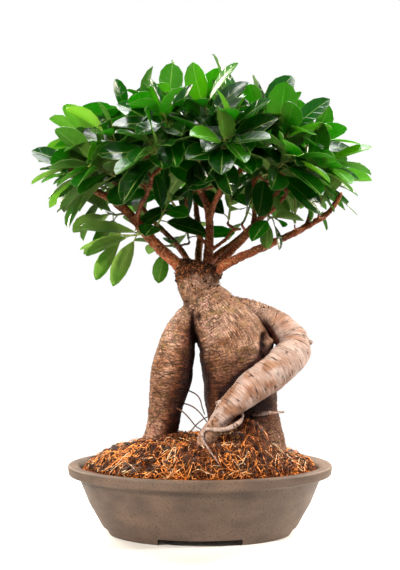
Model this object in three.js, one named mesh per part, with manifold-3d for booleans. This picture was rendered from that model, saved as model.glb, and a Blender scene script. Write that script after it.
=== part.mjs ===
// A ginseng ficus bonsai: a swollen, rooted caudex in a plain oval pot, with grafted limbs and leafy shoots.
// Millimetres. +Z is up and +Y points away from the side seen first. The origin is on the table, under the
// middle of the whole outline. The plant is laid out round the pot's own centre and moved there at the end.
import * as THREE from 'three';
import { mergeVertices } from 'three/addons/utils/BufferGeometryUtils.js';
import Module from 'manifold-3d';

const wasm = await Module();
wasm.setup();

// Driving dimensions
const GAP = 0.35; // between pieces that touch
const POT_LENGTH = 316; // over the rim, along X
const POT_DEPTH = 244; // over the rim, along Y
const POT_HEIGHT = 80;
const MOUTH_RADIUS = 143; // inside the rim, along X
const FOOT_HEIGHT = 9;
const FLOOR_THICKNESS = 9;
const DRAIN_RADIUS = 11;
const DRAIN_X = 58; // each side of the pot's centre
const SCREEN_RADIUS = 17;
const SCREEN_THICKNESS = 1.6;
const MOUND_EDGE = 73; // height of the mound where it meets the pot
const MOUND_RISE = 38; // how far it rises towards the roots
const CROWN_CENTRE = new THREE.Vector3(0, 0, 400);
const SHOOT_LENGTH = 46;
const SHOOT_RADII = [1.7, 1.0];
const TWIG_RADII = [2.4, 1.8];
const LEAVES_PER_SHOOT = 12; // places on a shoot, of which the ones that are clear of all else hold a leaf
const LEAF_LENGTH = 59;
const LEAF_WIDTH = 32;
const PETIOLE = 9;
const CLEARANCE = 1.1; // free space kept round a leaf
const GOLDEN_ANGLE = 2.39996;

const OVAL = POT_DEPTH / POT_LENGTH;
const RIM_RADIUS = POT_LENGTH / 2;
const vec = ([x, y, z]) => new THREE.Vector3(x, y, z);
const mix = (a, b, t) => a + (b - a) * t;

// A repeatable draw of numbers from 0 to 1.
function draws(seed) {
  let state = (seed * 7919 + 17) % 2147483647;
  return () => {
    state = (state * 16807) % 2147483647;
    return state / 2147483647;
  };
}

// Joining and cutting closed meshes
function solid(geometry) {
  const bare = geometry.clone();
  bare.deleteAttribute('normal');
  bare.deleteAttribute('uv');
  const merged = mergeVertices(bare, 1e-4);
  return new wasm.Manifold(new wasm.Mesh({
    numProp: 3,
    vertProperties: new Float32Array(merged.attributes.position.array),
    triVerts: new Uint32Array(merged.index.array),
  }));
}

function geometryOf(manifold) {
  const mesh = manifold.getMesh();
  const geometry = new THREE.BufferGeometry();
  geometry.setAttribute('position', new THREE.BufferAttribute(new Float32Array(mesh.vertProperties), 3));
  geometry.setIndex(new THREE.BufferAttribute(new Uint32Array(mesh.triVerts), 1));
  geometry.computeVertexNormals();
  return geometry;
}

const joined = (solids) => solids.reduce((sum, next) => sum.add(next));

// The largest body of a cut solid, without loose scraps.
function withoutScraps(manifold) {
  return manifold.decompose().reduce((a, b) => (a.volume() > b.volume() ? a : b));
}

function boxesMeet(a, b) {
  return [0, 1, 2].every((k) => a.min[k] < b.max[k] && b.min[k] < a.max[k]);
}

function crosses(a, b) {
  return boxesMeet(a.boundingBox(), b.boundingBox()) && !a.intersect(b).isEmpty();
}

// A closed tube along stations of [x, y, z, radius along "across", radius square to it].
function tube(stations, sides, steps, { across = null, grow = 0, ripple = 0 } = {}) {
  const path = new THREE.CatmullRomCurve3(stations.map(vec), false, 'centripetal');
  const radii = new THREE.CatmullRomCurve3(
    stations.map(([, , , wide, deep = wide]) => new THREE.Vector3(wide, deep, 0)), false, 'centripetal');
  const chord = path.getPoint(1).sub(path.getPoint(0));
  const size = [Math.abs(chord.x), Math.abs(chord.y), Math.abs(chord.z)];
  const side = across ?? new THREE.Vector3().setComponent(size.indexOf(Math.min(...size)), 1);
  const geometry = new THREE.CylinderGeometry(1, 1, 1, sides, steps);
  const spot = geometry.attributes.position;
  for (let i = 0; i < spot.count; i++) {
    const share = 0.5 - spot.getY(i);
    const t = path.getUtoTmapping(share);
    const tangent = path.getTangent(t);
    const first = side.clone().addScaledVector(tangent, -side.dot(tangent)).normalize();
    const second = tangent.clone().cross(first);
    const radius = radii.getPoint(t);
    const angle = Math.atan2(spot.getX(i), spot.getZ(i));
    const swell = 1 + ripple * Math.sin(3 * angle + 9 * share) + ripple * Math.sin(5 * angle - 17 * share);
    const end = share < 1e-6 ? -grow : share > 1 - 1e-6 ? grow : 0;
    const at = path.getPoint(t)
      .addScaledVector(first, spot.getX(i) * (radius.x * swell + grow))
      .addScaledVector(second, spot.getZ(i) * (radius.y * swell + grow))
      .addScaledVector(tangent, end);
    spot.setXYZ(i, at.x, at.y, at.z);
  }
  return solid(geometry);
}

// Evenly tapering stations along a list of points.
function tapered(points, [start, end]) {
  return points.map(([x, y, z], i) => [x, y, z, mix(start, end, i / (points.length - 1))]);
}

// Pot: profiles give the radius along X, and the height
const OVAL_SIDES = 34;
const FLOOR_TOP = FOOT_HEIGHT + FLOOR_THICKNESS;
const WALL_INSIDE = [
  [108, FLOOR_TOP], [123, 34], [137, 62], [141, MOUND_EDGE - 2], [MOUTH_RADIUS, POT_HEIGHT - 4],
];

function ovalLathe(profile) {
  const turned = new THREE.LatheGeometry(profile.map(([r, z]) => new THREE.Vector2(r, z)), OVAL_SIDES);
  return turned.rotateX(Math.PI / 2).scale(1, OVAL, 1);
}

function pot() {
  const profile = [
    [0, FOOT_HEIGHT], [94, FOOT_HEIGHT], [96, 0], [111, 0], [118, FOOT_HEIGHT + 1], [133, 36], [145, 66],
    [RIM_RADIUS - 1, 69], [RIM_RADIUS, POT_HEIGHT - 1.5], [RIM_RADIUS - 1.5, POT_HEIGHT], [146, POT_HEIGHT],
    ...WALL_INSIDE.toReversed(), [0, FLOOR_TOP],
  ];
  const drain = new THREE.CylinderGeometry(DRAIN_RADIUS, DRAIN_RADIUS, 3 * FLOOR_TOP, 14);
  drain.rotateX(Math.PI / 2);
  // Two crossed bars cut the foot ring into four feet.
  const notch = 2 * (FOOT_HEIGHT - 1.5);
  const cuts = [
    drain.clone().translate(-DRAIN_X, 0, 0),
    drain.clone().translate(DRAIN_X, 0, 0),
    new THREE.BoxGeometry(96, POT_DEPTH, notch),
    new THREE.BoxGeometry(POT_LENGTH, 62, notch),
  ];
  return cuts.reduce((body, cut) => body.subtract(solid(cut)), solid(ovalLathe(profile)));
}

// A disc of mesh over each drain hole
function drainScreen(x) {
  const disc = new THREE.CylinderGeometry(SCREEN_RADIUS, SCREEN_RADIUS, SCREEN_THICKNESS, 16);
  let screen = solid(disc.rotateX(Math.PI / 2));
  for (const [i, j] of [[0, 0], [-1, 0], [1, 0], [0, -1], [0, 1]]) {
    screen = screen.subtract(solid(new THREE.BoxGeometry(6, 6, 4).translate(8.5 * i, 8.5 * j, 0)));
  }
  return screen.translate([x, 0, FLOOR_TOP + GAP + SCREEN_THICKNESS / 2]);
}

// Mound of coir and bark: it fills the pot, domes up round the roots, and has a lumpy top.
// Piles on it are given by x, y, height and spread.
const PILES = [[-30, -30, 4, 40], [8, -62, 13, 24], [60, -48, 34, 17], [-48, -32, 4, 20]];

function moundHeight(x, y) {
  const reach = Math.hypot(x / MOUTH_RADIUS, y / (MOUTH_RADIUS * OVAL));
  const dome = Math.max(0, 1 - reach * reach);
  let height = MOUND_EDGE + MOUND_RISE * dome ** 0.75;
  for (const [px, py, rise, spread] of PILES) {
    const away = ((x - px) ** 2 + (y - py) ** 2) / (2 * spread * spread);
    height += rise * Math.exp(-away) * Math.min(1, 3 * dome);
  }
  const lumps = Math.sin(x / 6.1 + 1.7 * Math.sin(y / 9.3)) * Math.cos(y / 5.7 + 1.3 * Math.sin(x / 8.1));
  return height + 2.2 * lumps * Math.min(1, 4 * dome);
}

function soil() {
  const floor = FLOOR_TOP + SCREEN_THICKNESS + 2 * GAP;
  const wall = WALL_INSIDE.slice(0, 4).map(([r, z], i) => [r - 2 * GAP, i ? z : floor]);
  const top = [0.98, 0.87, 0.75, 0.62, 0.47, 0.27].map((share) => [share * wall[3][0], MOUND_EDGE]);
  const profile = [[0, floor], ...wall, ...top, [0, MOUND_EDGE]];
  const geometry = ovalLathe(profile);
  const spot = geometry.attributes.position;
  for (let i = 0; i < spot.count; i++) {
    if (spot.getZ(i) > MOUND_EDGE - 0.01) spot.setZ(i, moundHeight(spot.getX(i), spot.getY(i)));
  }
  return solid(geometry);
}

// Caudex: the neck and middle root, the leg root, and the arm root with its elbow
const MIDDLE_ROOT = [
  [1, 0, 321, 23, 22], [-1.5, 0, 309, 28.5, 26], [-2, 0, 296, 25.5, 24], [1, 0, 285, 24, 23],
  [8, 0, 274, 27.5, 26], [16, 0, 261, 34, 30], [27, 0, 246, 38.5, 35], [37, 0, 231, 42, 38],
  [43, 0, 213, 45, 41], [48, 0, 189, 45.5, 42], [49.5, 0, 162, 44, 41], [52, 1, 136, 42.5, 40],
  [57, 3, 112, 43, 40], [62, 4, 84, 44, 40], [64, 4, 44, 34, 30],
];
const LEG_ROOT = [
  [-2, -2, 274, 13], [-12, -5, 256, 16], [-22, -8, 239, 19], [-28, -11, 220, 22.5], [-32, -13, 202, 24.5],
  [-34.5, -14, 184, 25], [-38, -14, 166, 22.5], [-41, -14, 148, 20], [-43.5, -14, 131, 19],
  [-46.5, -14, 114, 19.5], [-50, -14, 98, 22], [-53, -14, 76, 21], [-54, -14, 50, 14],
];
const ARM_ROOT = [
  [28, 3, 267, 16], [55, 8, 262, 15.5], [75, 11, 254, 16.5], [94, 9, 244, 17.8], [108.5, 1, 230, 19.5],
  [111, -12, 215, 20.5], [98, -28, 202.5, 20.8], [79, -43, 188.5, 20.2], [60, -54, 176.5, 18.5],
  [43.5, -62, 163.5, 15.8], [29.5, -66, 150, 12.8], [18, -68, 136, 10.3], [8.5, -67, 121, 9.8],
  [-1, -62, 96, 8],
];
const CURLED_ROOT = [
  [50, -62, 146, 2.4], [45, -73, 139, 2.8], [35, -80, 134, 3], [25, -82, 131.5, 3], [15, -80, 131.5, 2.8],
  [6, -77, 131, 2.4], [2, -76, 122, 1.6], [8, -82, 108, 1.3], [14, -86, 94, 1.2],
];
const STUBS = [
  [[32, -66, 159, 4], [25, -69, 161, 3.2], [18, -70, 159, 2.6]], // at the wrist
  [[58, -36, 143, 1.8], [78, -46, 146, 1.6], [98, -44, 147, 1.4]], // out to the right of the arm's foot
  [[124, -8, 223, 4], [129, -9, 225, 3.2], [134, -10, 227, 2.2]], // on the elbow
  [[-9, -18, 268, 4.5], [-13, -24, 266, 4], [-15, -28, 265, 2.5]], // a closed knot under the neck
];
const AERIAL_ROOTS = [
  [[-18, -18, 171], [-5, -20, 165], [0, -21, 159], [2.5, -22, 150], [6, -20, 140]],
  [[-24, -18, 155], [-11, -24, 152], [-3, -28, 147], [4, -30, 139], [16, -30, 121], [22, -32, 96]],
  [[-32, -28, 152], [-19, -34, 145], [-12, -38, 138], [-4, -40, 129], [4, -42, 124], [10, -46, 104]],
  [[-17, -34, 98], [-15, -33, 116], [-9, -31, 125], [0, -30, 134], [8, -30, 139], [18, -30, 141]],
];

function caudex(grow = 0) {
  const parts = [
    tube(MIDDLE_ROOT, 15, 16, { across: vec([1, 0, 0]), grow, ripple: 0.008 }),
    tube(LEG_ROOT, 12, 13, { across: vec([1, 0, 0]), grow, ripple: 0.012 }),
    tube(ARM_ROOT, 12, 15, { across: vec([0, 1, 0]), grow, ripple: 0.012 }),
    tube(CURLED_ROOT, 5, 10, { across: vec([0, 1, 0]), grow }),
    ...STUBS.map((stub) => tube(stub, 6, 2, { grow })),
    ...AERIAL_ROOTS.map((root) => tube(tapered(root, [0.9, 0.7]), 4, 5, { grow })),
  ];
  return joined(parts);
}

// Limbs: each is one graft, with its forks. Points from the base out, then the radii at the base and the tip.
const LIMBS = {
  limb_left: [
    { points: [[-13, -1, 302], [-26, -4, 318], [-44, -10, 334], [-62, -15, 353], [-80, -20, 374],
      [-97, -24, 391], [-118, -28, 402], [-142, -30, 416], [-156, -30, 436]], radii: [8, 2.8] },
    { points: [[-94, -23, 388], [-97, -26, 408], [-94, -28, 430], [-86, -28, 450]], radii: [4, 2.6] },
    { points: [[-74, -19, 368], [-88, 2, 380], [-106, 22, 392]], radii: [3, 2] },
    { points: [[-76, -19, 370], [-70, -38, 384], [-60, -58, 400], [-54, -74, 418]], radii: [3.2, 2.2] },
  ],
  limb_centre: [
    { points: [[4, 1, 300], [9, 1, 321], [11, -2, 348], [11, -4, 372], [7, -8, 393], [-3, -14, 413],
      [-10, -18, 440], [-10, -14, 458]], radii: [6.4, 2.6] },
    { points: [[10, -5, 384], [33, -6, 413], [50, -2, 434], [56, 4, 452]], radii: [3.6, 2.4] },
    { points: [[11, -3, 368], [17, -34, 390], [26, -62, 410], [30, -78, 428]], radii: [3.4, 2.4] },
    { points: [[10, 2, 332], [22, 0, 342], [32, -4, 350], [39, -6, 359], [50, -8, 361]], radii: [2.6, 1.5] },
    { points: [[9, -2, 341], [-9, -12, 362], [-15, -16, 380], [-17, -18, 398]], radii: [1.9, 1.5] },
  ],
  limb_right_inner: [
    { points: [[16, 8, 303], [23, 8, 320], [36, 5, 333], [54, -2, 352], [64, -6, 363], [78, -10, 382],
      [92, -15, 405], [100, -20, 430]], radii: [5.2, 2.6] },
    { points: [[63, -5, 362], [66, 4, 384], [66, 10, 412], [60, 14, 442]], radii: [3.2, 2.3] },
    { points: [[72, -8, 373], [90, -22, 386], [102, -38, 402]], radii: [3, 2.2] },
  ],
  limb_right_outer: [
    { points: [[14, -9, 305], [25, -8, 315], [48, -8, 327], [84, -10, 343], [120, -14, 360], [152, -18, 380],
      [168, -20, 404]], radii: [6.4, 2.6] },
    { points: [[126, -15, 363], [133, 4, 382], [136, 22, 400]], radii: [2.8, 2] },
  ],
  limb_back_left: [
    { points: [[-10, 11, 305], [-15, 18, 322], [-24, 32, 338], [-40, 52, 356], [-60, 72, 376],
      [-76, 84, 396]], radii: [4.6, 2.4] },
  ],
  limb_back: [
    { points: [[0, 14, 303], [-2, 23, 326], [0, 50, 354], [-4, 78, 384], [-6, 92, 414], [-4, 84, 444]],
      radii: [5, 2.6] },
  ],
  limb_back_right: [
    { points: [[10, 16, 305], [15, 23, 324], [42, 42, 346], [68, 66, 370], [92, 82, 398], [102, 84, 424]],
      radii: [5.2, 2.6] },
  ],
};

// Leafy shoots stand in rings round the crown: how many, the ring's half width and half depth, its height,
// how much higher it is at the front and back, how steeply its shoots rise, and the angle of the first one.
const RINGS = [
  { count: 12, wide: 110, deep: 88, height: 410, lift: 22, rise: 12, first: 10 },
  { count: 11, wide: 94, deep: 78, height: 432, lift: 14, rise: 28, first: 24 },
  { count: 8, wide: 62, deep: 52, height: 446, lift: 6, rise: 46, first: 4 },
  { count: 4, wide: 30, deep: 26, height: 455, lift: 0, rise: 64, first: 40 },
  { count: 1, wide: 0, deep: 0, height: 452, lift: 0, rise: 88, first: 0 },
];
// Low shoots, placed one by one under the crown: base, the way each one points, its number of leaves, their
// size, how far they hang, how wide they spread, and the way their upper faces look. The leaves of the first
// are slimmer than the others.
const LOW_SHOOTS = [
  { at: [-65, -32, 355], to: [-0.92, 0.05, -0.3], leaves: 6,
    size: 1.08, sag: 0.2, spread: 0.58, face: [-0.3, 0.5, 0.7], broad: 0.68 },
  { at: [-34, 20, 342], to: [-0.5, 0.4, -0.1], leaves: 4,
    size: 0.6, sag: 0.2, spread: 1, face: [0, 0.3, 0.8] },
  { at: [-14, 34, 350], to: [-0.1, 0.3, 0.6], leaves: 6,
    size: 0.75, sag: 0.3, spread: 1, face: [0, -0.4, 0.8] },
  { at: [-94, 8, 380], to: [-0.4, 0.5, -0.1], leaves: 6,
    size: 0.8, sag: 0.3, spread: 1, face: [0, 0.4, 0.8] },
  { at: [-52, -26, 362], to: [0.35, -0.35, 0.5], leaves: 5,
    size: 0.75, sag: 0.2, spread: 1, face: [0.1, -0.7, 0.6] },
  { at: [-28, 6, 386], to: [-0.4, -0.2, 0.5], leaves: 6,
    size: 0.85, sag: 0.2, spread: 1, face: [0, -0.5, 0.8] },
  { at: [34, -12, 371], to: [0.1, -0.3, 0.8], leaves: 5,
    size: 0.75, sag: 0.2, spread: 0.9, face: [0, -0.5, 0.8] },
  { at: [80, -20, 377], to: [0.1, -0.5, -0.25], leaves: 5,
    size: 0.65, sag: 0.35, spread: 1, face: [0.1, 0.4, 0.7] },
  { at: [112, -22, 366], to: [0, -0.1, 1], leaves: 4,
    size: 0.65, sag: 0, spread: 0.55, face: [0, 0.9, 0.3] },
  { at: [140, -24, 378], to: [0.1, -0.2, 1], leaves: 4,
    size: 0.7, sag: 0, spread: 0.55, face: [0, 0.9, 0.3] },
  { at: [54, 44, 372], to: [0.2, 0.3, 0.4], leaves: 6,
    size: 0.8, sag: 0.3, spread: 1, face: [0, -0.3, 0.8] },
];

function shootPlaces() {
  const places = [];
  for (const ring of RINGS) {
    for (let i = 0; i < ring.count; i++) {
      const turn = (i / ring.count) * 2 * Math.PI + THREE.MathUtils.degToRad(ring.first);
      const out = [Math.cos(turn), Math.sin(turn)];
      const rise = THREE.MathUtils.degToRad(ring.rise);
      const height = ring.height + ring.lift * out[1] * out[1] + 6 * Math.sin(2.4 * places.length);
      places.push({
        at: [out[0] * ring.wide, out[1] * ring.deep, height],
        to: [out[0] * Math.cos(rise), out[1] * Math.cos(rise), Math.sin(rise)],
        leaves: LEAVES_PER_SHOOT,
        size: 1,
        spread: 1,
      });
    }
  }
  return [...places, ...LOW_SHOOTS].map((place, index) => ({
    ...place, index, at: vec(place.at), to: vec(place.to).normalize(), low: index >= places.length,
  }));
}

// The limb, and the place on it, that a shoot's twig grows from: the nearest that lies lower than the shoot.
function nearestLimb(base, low) {
  let best = { cost: Infinity };
  for (const [name, forks] of Object.entries(LIMBS)) {
    for (const fork of forks) {
      const path = new THREE.CatmullRomCurve3(fork.points.map(vec), false, 'centripetal');
      for (let i = 5; i <= 30; i++) {
        const at = path.getPoint(i / 30);
        const cost = at.distanceTo(base) + (low ? 0 : 3 * Math.max(0, at.z - (base.z - 12)));
        if (cost < best.cost) best = { cost, name, at, along: path.getTangent(i / 30) };
      }
    }
  }
  return best;
}

function twigStations({ at, to }, limb) {
  const bend = limb.at.clone().lerp(at, 0.5).addScaledVector(limb.along, 4).addScaledVector(to, -5);
  const before = at.clone().addScaledVector(to, -5);
  return tapered([limb.at, bend, before, at].map((p) => p.toArray()), TWIG_RADII);
}

function limbSolid(name, twigs, grow = 0) {
  const parts = LIMBS[name].map(({ points, radii }, i) =>
    tube(tapered(points, radii), i ? 5 : 8, i ? 4 : points.length, { grow }));
  const own = twigs.filter((twig) => twig.limb.name === name);
  return joined([...parts, ...own.map((twig) => tube(twigStations(twig.place, twig.limb), 3, 3, { grow }))]);
}

// Shoots and leaves
function shootPoint({ at, to, leaves }, share) {
  const start = at.clone().addScaledVector(to, GAP + 0.25);
  const length = SHOOT_LENGTH * (0.25 + 0.75 * (leaves / LEAVES_PER_SHOOT));
  return start.addScaledVector(to, length * share).add(new THREE.Vector3(0, 0, 7 * share * share));
}

function shootStem(place) {
  const shares = [0, 0.5, 1];
  return tube(tapered(shares.map((s) => shootPoint(place, s).toArray()), SHOOT_RADII), 3, 2);
}

// Where each leaf of a shoot is rooted, the way it points and its upper face looks, its size and its bend.
function leafPlaces(place) {
  const draw = draws(place.index + 1);
  const helper = Math.abs(place.to.z) > 0.9 ? vec([1, 0, 0]) : vec([0, 0, 1]);
  const first = helper.clone().cross(place.to).normalize();
  const second = place.to.clone().cross(first);
  const start = draw() * 2 * Math.PI;
  const leaves = [];
  for (let i = 0; i < place.leaves; i++) {
    const share = 0.06 + 0.92 * (i / (place.leaves - 1)) ** 0.85;
    const turn = start + i * GOLDEN_ANGLE + 0.5 * (draw() - 0.5);
    const lean = place.spread * mix(1.25, 0.5, share) + 0.3 * (draw() - 0.5);
    const sizes = place.size * (0.78 + 0.4 * draw()) * (1 - 0.22 * share * share);
    const roll = draw() - 0.5;
    const yaw = draw() - 0.5;
    const sag = place.low ? place.sag : 0.12 + 0.18 * draw();
    const root = shootPoint(place, share);
    const along = place.to.clone().multiplyScalar(Math.cos(lean))
      .addScaledVector(first, Math.cos(turn) * Math.sin(lean))
      .addScaledVector(second, Math.sin(turn) * Math.sin(lean));
    along.z -= sag;
    along.normalize();
    // The stalks of the leaves under a shoot turn them outwards.
    if (!place.low) along.z = Math.max(along.z, 0.25 * along.z - 0.3);
    along.normalize();
    const outward = root.clone().sub(CROWN_CENTRE).setLength(0.6).add(vec([0, 0, 0.7]));
    const look = (place.low ? vec(place.face) : outward).add(vec([roll, yaw, 0]));
    look.addScaledVector(along, -look.dot(along)).normalize();
    const broad = place.broad ?? 1;
    leaves.push({
      root, along, look, length: LEAF_LENGTH * sizes, wide: (LEAF_WIDTH / 2) * sizes * broad,
      arch: 0.09 + 0.2 * Math.abs(roll + yaw),
    });
  }
  return leaves;
}

// Stations of a blade from its root in the shoot to its tip: shares of its length and half width, keel depth.
const BLADE = [[0, 0, 0], [0.03, 0.14, 1.7], [0.4, 0.98, 1.3], [0.84, 0.76, 1.1], [1, 0, 0]];

// A closed blade with a flat upper face and a keel under the midrib, or with room, a fatter one for testing.
function blade({ root, along, look, length, wide, arch }, room = 0) {
  const geometry = new THREE.SphereGeometry(1, room ? 4 : 3, BLADE.length - 1);
  const across = along.clone().cross(look);
  const spot = geometry.attributes.position;
  const columns = spot.count / BLADE.length;
  for (let i = 0; i < spot.count; i++) {
    const row = Math.floor(i / columns);
    const column = (i % columns) % (columns - 1);
    const [share, breadth, keel] = BLADE[row];
    const inner = row > 0 && row < BLADE.length - 1;
    const reach = PETIOLE * Math.min(1, row) + length * share + (row === BLADE.length - 1 ? room : 0);
    const at = root.clone().addScaledVector(along, row ? reach : 0)
      .addScaledVector(look, -arch * length * share * share);
    const half = inner ? breadth * wide + room : 0;
    const order = room ? ['under', 'right', 'over', 'left'] : ['under', 'right', 'left'];
    const corner = order[column];
    if (inner && corner === 'right') at.addScaledVector(across, half);
    if (inner && corner === 'left') at.addScaledVector(across, -half);
    if (inner && corner === 'under') at.addScaledVector(look, -keel - room);
    if (inner && corner === 'over') at.addScaledVector(look, room);
    spot.setXYZ(i, at.x, at.y, at.z);
  }
  return solid(geometry);
}

// Materials
const material = (color, roughness) => new THREE.MeshStandardMaterial({ color, roughness, metalness: 0 });
const STONEWARE = material(0x5b4a3f, 0.65);
const SCREEN = material(0x22231f, 0.6);
const COIR = material(0x9a5a26, 0.95);
const CAUDEX_BARK = material(0xa98c74, 0.85);
const LIMB_BARK = material(0x8a5237, 0.8);
const LEAF = material(0x2f7a1e, 0.35);

function node(name, manifold, finish) {
  const mesh = new THREE.Mesh(geometryOf(withoutScraps(manifold)), finish);
  mesh.name = name;
  return mesh;
}

// Assembly
const group = new THREE.Group();
const places = shootPlaces();
const twigs = places.map((place) => ({ place, limb: nearestLimb(place.at, place.low) }));

const limbs = Object.keys(LIMBS).map((name) => ({ name, body: limbSolid(name, twigs) }));
let trunk = caudex();
for (const { name } of limbs) trunk = trunk.subtract(limbSolid(name, [], GAP));
trunk = withoutScraps(trunk);

group.add(node('pot', pot(), STONEWARE));
group.add(node('drain_screen_left', drainScreen(-DRAIN_X), SCREEN));
group.add(node('drain_screen_right', drainScreen(DRAIN_X), SCREEN));
group.add(node('soil', soil().subtract(caudex(GAP)), COIR));
group.add(node('caudex', trunk, CAUDEX_BARK));
for (const { name, body } of limbs) group.add(node(name, body, LIMB_BARK));

// Each shoot keeps the leaves that cross nothing else, from its tip down, and the low shoots grow first.
const wood = [trunk, ...limbs.map(({ body }) => body)];
const grown = places.map((place) => [shootStem(place)]);
for (const place of places.toReversed()) {
  for (const leaf of leafPlaces(place).toReversed()) {
    const test = blade(leaf, CLEARANCE);
    const others = grown.flatMap((pieces, k) => (k === place.index ? pieces.slice(1) : pieces));
    if (![...wood, ...others].some((other) => crosses(test, other))) grown[place.index].push(blade(leaf));
  }
}
grown.forEach((pieces, k) => {
  group.add(node(`leafy_shoot_${String(k + 1).padStart(2, '0')}`, joined(pieces), LEAF));
});

const outline = new THREE.Box3().setFromObject(group);
group.position.set(-(outline.min.x + outline.max.x) / 2, -(outline.min.y + outline.max.y) / 2, 0);

export default group;
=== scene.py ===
"""A ginseng ficus bonsai: bark, leaves, coir and a stoneware pot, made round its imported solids.

The plant is laid out in millimetres round the pot's own centre, and each finished piece is set down in the
frame, in metres. +Z is up and +Y points away from the side seen first.
"""
import functools
import math
import random

import bmesh
import bpy
import numpy as np
from mathutils import Matrix, Vector, noise
from mathutils.bvhtree import BVHTree


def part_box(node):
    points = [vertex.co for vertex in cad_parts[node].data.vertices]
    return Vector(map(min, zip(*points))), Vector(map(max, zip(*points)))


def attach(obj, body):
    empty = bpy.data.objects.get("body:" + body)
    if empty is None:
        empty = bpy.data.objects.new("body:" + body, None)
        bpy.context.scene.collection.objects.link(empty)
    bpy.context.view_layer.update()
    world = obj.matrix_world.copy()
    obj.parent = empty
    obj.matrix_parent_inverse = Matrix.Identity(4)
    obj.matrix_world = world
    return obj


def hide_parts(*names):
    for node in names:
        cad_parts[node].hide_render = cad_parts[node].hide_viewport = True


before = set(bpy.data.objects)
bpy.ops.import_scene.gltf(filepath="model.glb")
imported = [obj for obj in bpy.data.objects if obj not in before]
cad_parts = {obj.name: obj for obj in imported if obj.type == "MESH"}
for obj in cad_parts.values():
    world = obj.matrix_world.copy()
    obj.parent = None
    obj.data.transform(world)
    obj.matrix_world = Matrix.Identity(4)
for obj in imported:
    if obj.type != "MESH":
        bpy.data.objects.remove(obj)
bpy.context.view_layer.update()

POT_LOW, POT_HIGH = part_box("pot")
POT_CENTRE = Vector(((POT_LOW.x + POT_HIGH.x) / 2, (POT_LOW.y + POT_HIGH.y) / 2, 0))
INTO_FRAME = Matrix.Translation(POT_CENTRE) @ Matrix.Scale(0.001, 4)

# Driving dimensions, in millimetres
POT_LENGTH, POT_DEPTH, POT_HEIGHT = 316, 244, 80
MOUTH_RADIUS = 143
FOOT_HEIGHT = 9
DRAIN_RADIUS, DRAIN_X = 11, 58
MOUND_EDGE, MOUND_RISE = 73, 38
CROWN_CENTRE = Vector((0, 0, 400))
SHOOT_LENGTH = 46
LEAVES_PER_SHOOT = 12
LEAF_LENGTH, LEAF_WIDTH, PETIOLE = 59, 32, 9
GOLDEN_ANGLE = 2.39996
OVAL = POT_DEPTH / POT_LENGTH
# The photograph's height in pixels, the millimetres to one at the trunk, and the eye's distance and height
PHOTO_HEIGHT, PIXEL = 570, 1.2
EYE_AWAY, EYE_HEIGHT = 1300, 294
# How bright the room is as a light and in a mirror, and the floor in both, where the camera sees them as 1
ROOM_GLOW, ROOM_MIRRORED, FLOOR_GLOW = 0.12, 0.4, 0.18


def stand(name, data):
    """A new object in the scene."""
    made = bpy.data.objects.new(name, data)
    bpy.context.scene.collection.objects.link(made)
    return made


def mesh_from(name, bm):
    """A mesh out of a bmesh, which it uses up."""
    mesh = bpy.data.meshes.new(name)
    bm.to_mesh(mesh)
    bm.free()
    return mesh


def baked(blank):
    """A bmesh of an object as its modifiers or its bevel leave it. The object goes."""
    shaped = blank.evaluated_get(bpy.context.evaluated_depsgraph_get())
    bm = bmesh.new()
    bm.from_mesh(shaped.to_mesh())
    shaped.to_mesh_clear()
    bpy.data.objects.remove(blank)
    return bm


# Camera, light and floor
def camera():
    """At the photograph's viewing angle: level, from the front, with the trunk as large as there."""
    data = bpy.data.cameras.new("camera")
    data.sensor_width = 36
    data.lens = data.sensor_width * EYE_AWAY / (PIXEL * PHOTO_HEIGHT)
    data.clip_start, data.clip_end = 0.05, 50
    eye = stand("camera", data)
    eye.location = INTO_FRAME @ Vector((0, -EYE_AWAY, EYE_HEIGHT))
    eye.rotation_euler = (math.radians(90), 0, 0)
    bpy.context.scene.camera = eye


def soft_light(name, place, aim, size, power, colour, spread=180):
    data = bpy.data.lights.new(name, "AREA")
    data.shape, data.size, data.energy = "DISK", size, power
    data.color, data.spread = linear(colour)[:3], math.radians(spread)
    lamp = stand(name, data)
    lamp.location = place
    lamp.rotation_euler = (Vector(aim) - Vector(place)).to_track_quat("-Z", "Y").to_euler()


def studio():
    """A white room, which is seen and mirrored but lights the object only softly, and five soft boxes."""
    world = bpy.data.worlds.new("white_studio")
    world.use_nodes = True
    tree = world.node_tree
    rays = node(tree, "LightPath").node.outputs
    mirrored = node(tree, "MapRange", [rays["Is Glossy Ray"], 0, 1, ROOM_GLOW, ROOM_MIRRORED])
    strength = node(tree, "Math", [mirrored, rays["Is Camera Ray"]], operation="MAXIMUM")
    tree.links.new(strength, tree.nodes["Background"].inputs["Strength"])
    tree.nodes["Background"].inputs["Color"].default_value = (1, 1, 1, 1)
    bpy.context.scene.world = world
    bpy.context.scene.view_settings.view_transform = "Standard"
    soft_light("back_left", (-1.1, 1.0, 1.15), (0, 0, 0.38), 0.8, 50, "#fff4e2")
    soft_light("back_right", (1.15, 0.9, 0.95), (0, 0, 0.32), 0.8, 42, "#fff4e2")
    soft_light("over", (0.1, 0.3, 1.6), (0, 0, 0.4), 1.2, 50, "#ffffff")
    # The two in front reach little higher than the trunk.
    soft_light("front_left", (-0.85, -1.05, 0.92), (0, 0, 0.18), 0.35, 1.3, "#fff6ea", 26)
    soft_light("front_right", (1.15, -0.35, 0.95), (0, 0, 0.18), 0.35, 0.85, "#fff6ea", 26)
    bm = bmesh.new()
    bmesh.ops.create_circle(bm, cap_ends=True, segments=96, radius=1.0)
    floor = stand("floor", mesh_from("floor", bm))
    floor.data.materials.append(matt_white_floor())


# Materials
def linear(colour):
    """An sRGB hex colour as linear red, green, blue and alpha."""
    shares = [int(colour[i:i + 2], 16) / 255 for i in (1, 3, 5)]
    return tuple(s / 12.92 if s <= 0.04045 else ((s + 0.055) / 1.055) ** 2.4 for s in shares) + (1.0,)


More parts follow.
